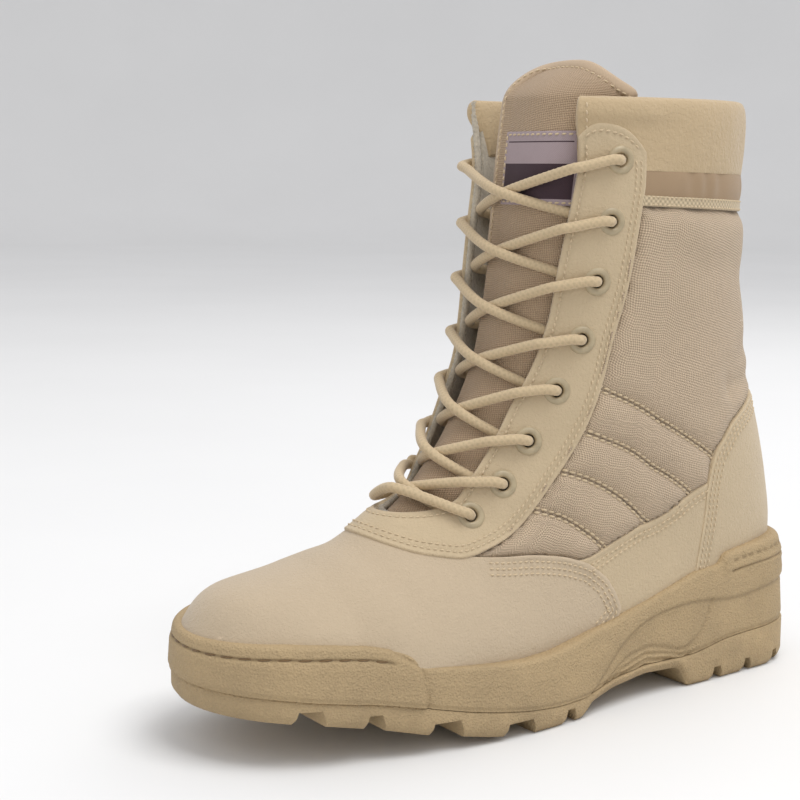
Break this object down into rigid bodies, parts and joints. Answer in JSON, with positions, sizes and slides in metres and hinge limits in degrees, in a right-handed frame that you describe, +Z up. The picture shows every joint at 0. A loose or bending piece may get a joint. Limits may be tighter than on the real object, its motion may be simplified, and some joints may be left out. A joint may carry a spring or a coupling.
{
  "type": "combat boot",
  "caption": "Lace-up combat boot for the left foot: hollow suede and nylon upper with padded tongue, on a lugged rubber cup sole with heel and raised toe.",
  "frame": {"origin": "centre of the boot's footprint box, on the floor", "axes": "+X to the toe, +Y to the outer (lateral) side of this left boot, +Z up"},
  "size_m": [0.296, 0.105, 0.2625],
  "materials": {
    "tread": "smooth tan rubber",
    "sidewall": "pebbled tan rubber",
    "suede": "suede, matt",
    "insole": "brushed fabric",
    "nylon": "heavy woven nylon",
    "eyelet": "satin enamel",
    "lace": "round braid"
  },
  "bodies": {
    "root": {"outsole": "tread", "midsole": "sidewall", "upper": "suede", "insole": "insole", "tongue": "nylon", "eyelet_lat_1": "eyelet", "eyelet_lat_2": "eyelet", "eyelet_lat_3": "eyelet", "eyelet_lat_4": "eyelet", "eyelet_lat_5": "eyelet", "eyelet_lat_6": "eyelet", "eyelet_lat_7": "eyelet", "eyelet_lat_8": "eyelet", "eyelet_med_1": "eyelet", "eyelet_med_2": "eyelet", "eyelet_med_3": "eyelet", "eyelet_med_4": "eyelet", "eyelet_med_5": "eyelet", "eyelet_med_6": "eyelet", "eyelet_med_7": "eyelet", "eyelet_med_8": "eyelet", "lace_cross_1": "lace", "lace_cross_2": "lace", "lace_cross_3": "lace", "lace_cross_4": "lace", "lace_cross_5": "lace", "lace_cross_6": "lace", "lace_cross_7": "lace", "lace_bar": "lace"}
  },
  "joints": []
}
